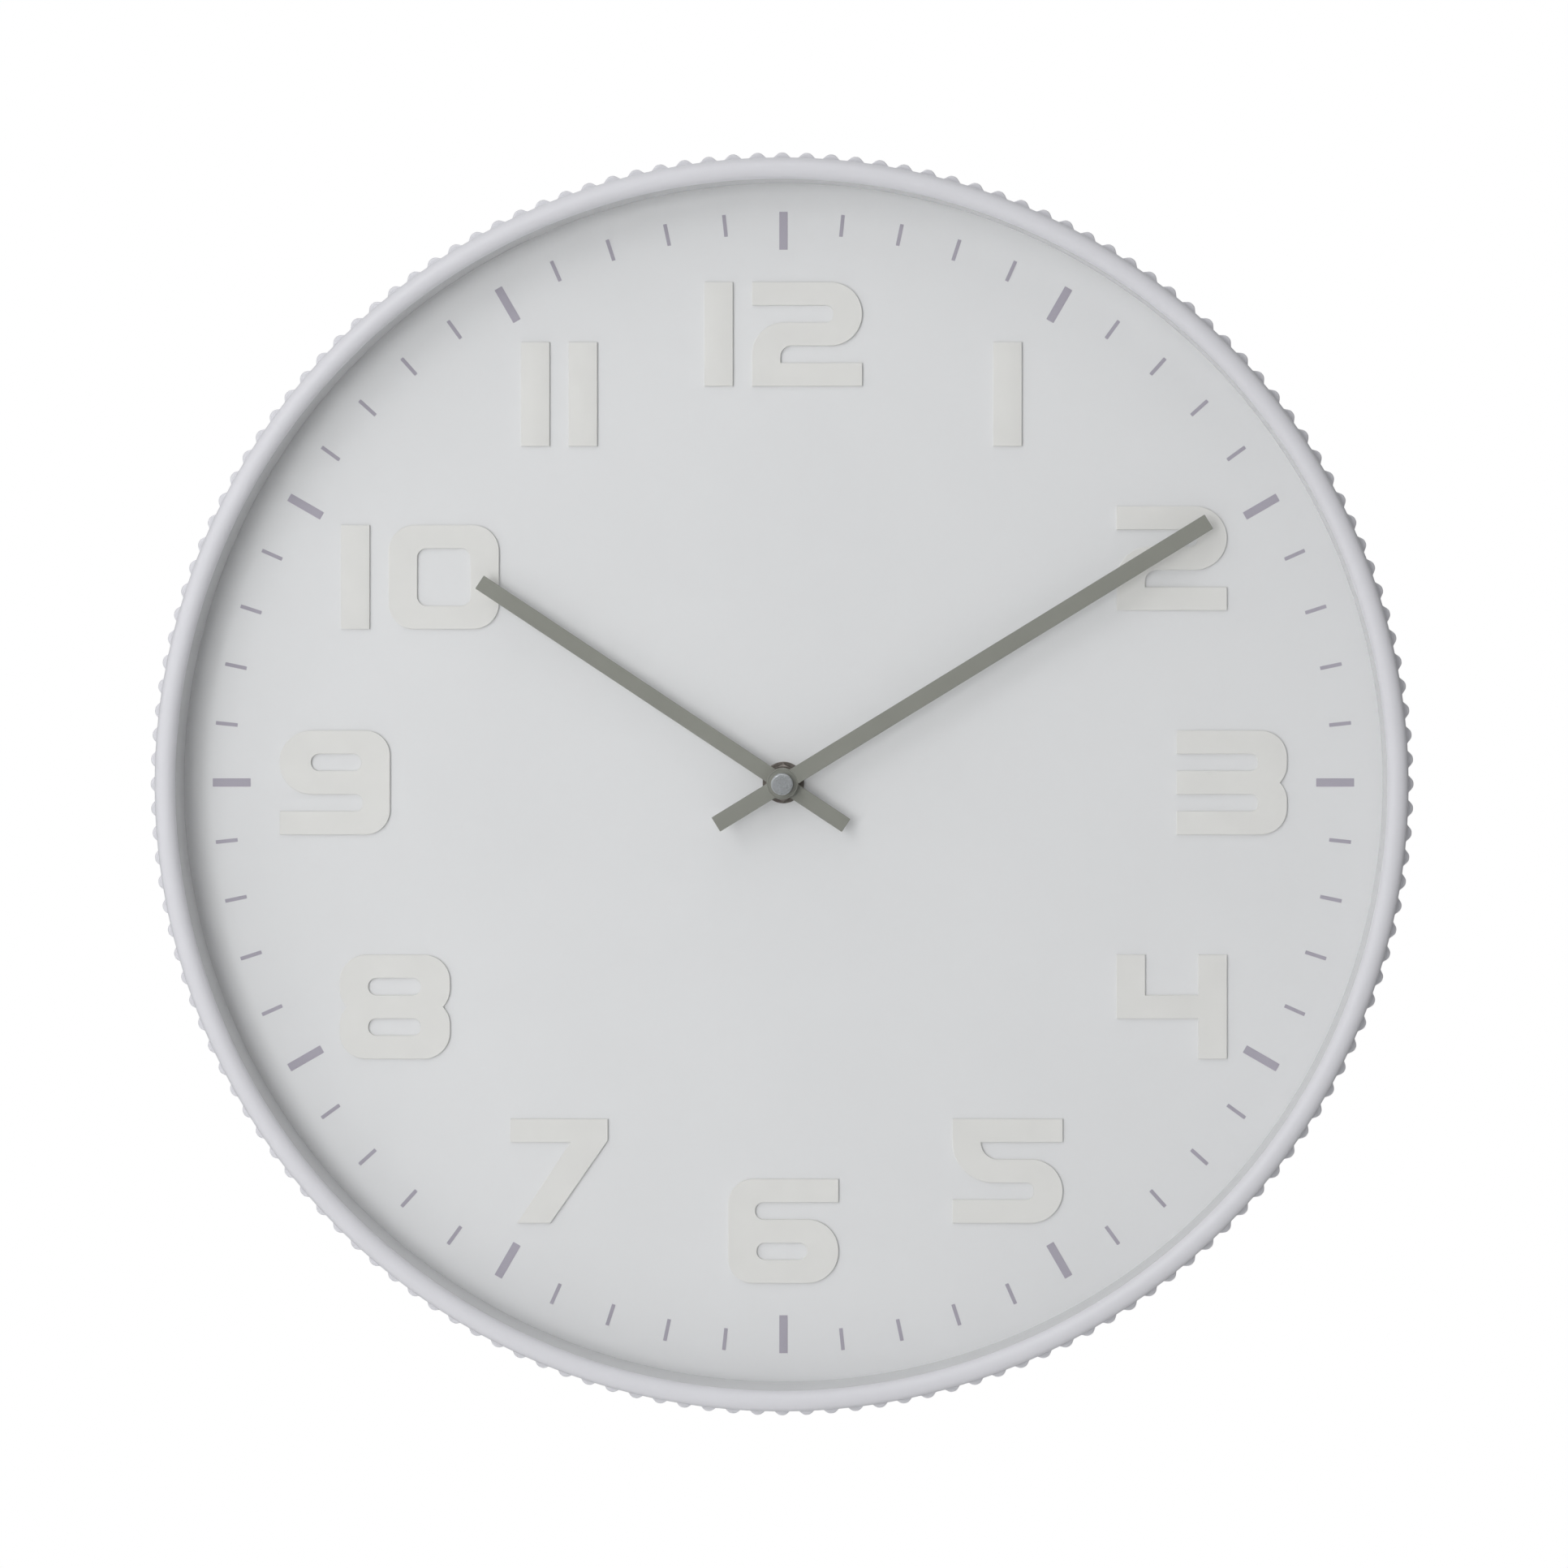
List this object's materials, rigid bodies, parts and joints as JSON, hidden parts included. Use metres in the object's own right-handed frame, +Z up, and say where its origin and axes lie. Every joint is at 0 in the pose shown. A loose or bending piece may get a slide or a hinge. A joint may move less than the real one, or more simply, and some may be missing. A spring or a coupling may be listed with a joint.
{
  "type": "wall clock",
  "caption": "Round quartz wall clock with a ribbed rim, raised numerals, two straight hands under flat glass and a boxed movement behind the dial.",
  "frame": {"origin": "where the wall screw's shank rests in the keyhole hanger, on the wall's surface", "axes": "+Z up, -Y out of the dial towards the viewer, +Y into the wall, +X to the viewer's right"},
  "size_m": [0.4, 0.04, 0.4],
  "materials": {
    "rim_paint": "satin, pale cool grey-white",
    "wall_paint": "matt pale grey",
    "clear_glass": "polished, clear",
    "dial_print": "matt pale grey print",
    "mark_ink": "matt lilac-grey ink",
    "numeral_ivory": "matt warm ivory",
    "hand_lacquer": "matt olive-grey lacquer",
    "cap_metal": "satin blue-grey",
    "dark_brass": "darkened, half gloss",
    "bright_brass": "machined",
    "black_rubber": "matt",
    "movement_black": "moulded, fine texture",
    "gear_white": "moulded nylon",
    "magnet_grey": "sintered",
    "stator_steel": "stamped",
    "copper_wire": "enamelled wire",
    "bobbin_cream": "moulded",
    "board_green": "resist over fibreglass",
    "chip_black": "cured resin",
    "crystal_can": "drawn can",
    "battery_jacket": "printed foil sleeve, dark with a copper band",
    "contact_nickel": "nickel plated",
    "cover_plastic": "moulded, fine texture",
    "hanger_zinc": "zinc plated",
    "screw_zinc": "zinc plated",
    "bumper_rubber": "matt"
  },
  "bodies": {
    "case": {"bezel": "rim_paint", "spacer_ring": "wall_paint", "glass": "clear_glass", "dial": "dial_print", "hour_marks": "mark_ink", "minute_marks": "mark_ink", "brass_washer": "dark_brass", "hex_nut": "dark_brass", "threaded_bushing": "bright_brass", "rubber_washer": "black_rubber", "movement_case": "movement_black", "movement_lid": "movement_black", "stator": "stator_steel", "coil_core": "stator_steel", "coil_bobbin": "bobbin_cream", "coil_winding": "copper_wire", "circuit_board": "board_green", "chip": "chip_black", "quartz_crystal": "crystal_can", "positive_contact": "contact_nickel", "negative_contact": "contact_nickel", "back_cover": "cover_plastic", "hanger_plate": "hanger_zinc", "hanger_screws": "screw_zinc", "case_screws": "screw_zinc", "wall_bumpers": "bumper_rubber", "numeral_1": "numeral_ivory", "numeral_2": "numeral_ivory", "numeral_3": "numeral_ivory", "numeral_4": "numeral_ivory", "numeral_5": "numeral_ivory", "numeral_6": "numeral_ivory", "numeral_7": "numeral_ivory", "numeral_8": "numeral_ivory", "numeral_9": "numeral_ivory", "numeral_10": "numeral_ivory", "numeral_11": "numeral_ivory", "numeral_12": "numeral_ivory"},
    "minute": {"minute_arbor": "bright_brass", "minute_hand": "hand_lacquer", "cap_nut": "cap_metal"},
    "hour": {"hour_wheel": "gear_white", "hour_hand": "hand_lacquer"},
    "motion": {"motion_wheel": "gear_white"},
    "knob": {"setting_knob": "gear_white"},
    "rotor": {"rotor_pinion": "gear_white", "rotor_magnet": "magnet_grey"},
    "step": {"step_wheel": "gear_white"},
    "seconds": {"seconds_wheel": "gear_white"},
    "third": {"third_wheel": "gear_white"},
    "centre": {"centre_wheel": "gear_white"},
    "battery": {"battery": "battery_jacket"}
  },
  "joints": [
    {"name": "minute_turn", "type": "hinge", "parent": "case", "child": "minute", "pos_m": [0, -0.0137, -0.15], "axis": [0, 1, 0], "continuous": true},
    {"name": "hour_turn", "type": "hinge", "parent": "case", "child": "hour", "pos_m": [0, -0.0158, -0.15], "axis": [0, 1, 0], "continuous": true},
    {"name": "motion_turn", "type": "hinge", "parent": "case", "child": "motion", "pos_m": [0.00902, -0.0137, -0.14672], "axis": [0, 1, 0], "continuous": true},
    {"name": "knob_turn", "type": "hinge", "parent": "case", "child": "knob", "pos_m": [0.01271, -0.0137, -0.13657], "axis": [0, 1, 0], "continuous": true},
    {"name": "rotor_turn", "type": "hinge", "parent": "case", "child": "rotor", "pos_m": [-0.00699, -0.0118, -0.13594], "axis": [0, 1, 0], "continuous": true},
    {"name": "step_turn", "type": "hinge", "parent": "case", "child": "step", "pos_m": [-0.00092, -0.0052, -0.13944], "axis": [0, 1, 0], "continuous": true},
    {"name": "seconds_turn", "type": "hinge", "parent": "case", "child": "seconds", "pos_m": [0, -0.0071, -0.15], "axis": [0, 1, 0], "continuous": true},
    {"name": "third_turn", "type": "hinge", "parent": "case", "child": "third", "pos_m": [-0.01022, -0.0093, -0.14628], "axis": [0, 1, 0], "continuous": true},
    {"name": "centre_turn", "type": "hinge", "parent": "case", "child": "centre", "pos_m": [0, -0.0115, -0.15], "axis": [0, 1, 0], "continuous": true},
    {"name": "battery_removal", "type": "slide", "parent": "case", "child": "battery", "axis": [0, 1, 0], "range_m": [0, 0.016]}
  ],
  "couplings": [
    {"joint": "hour_turn", "follows": "minute_turn", "ratio": 0.083333},
    {"joint": "motion_turn", "follows": "minute_turn", "ratio": -0.33333},
    {"joint": "knob_turn", "follows": "minute_turn", "ratio": 0.66667},
    {"joint": "step_turn", "follows": "rotor_turn", "ratio": -0.16667},
    {"joint": "seconds_turn", "follows": "rotor_turn", "ratio": 0.033333},
    {"joint": "third_turn", "follows": "rotor_turn", "ratio": -0.0041667},
    {"joint": "centre_turn", "follows": "rotor_turn", "ratio": 0.00055556}
  ]
}
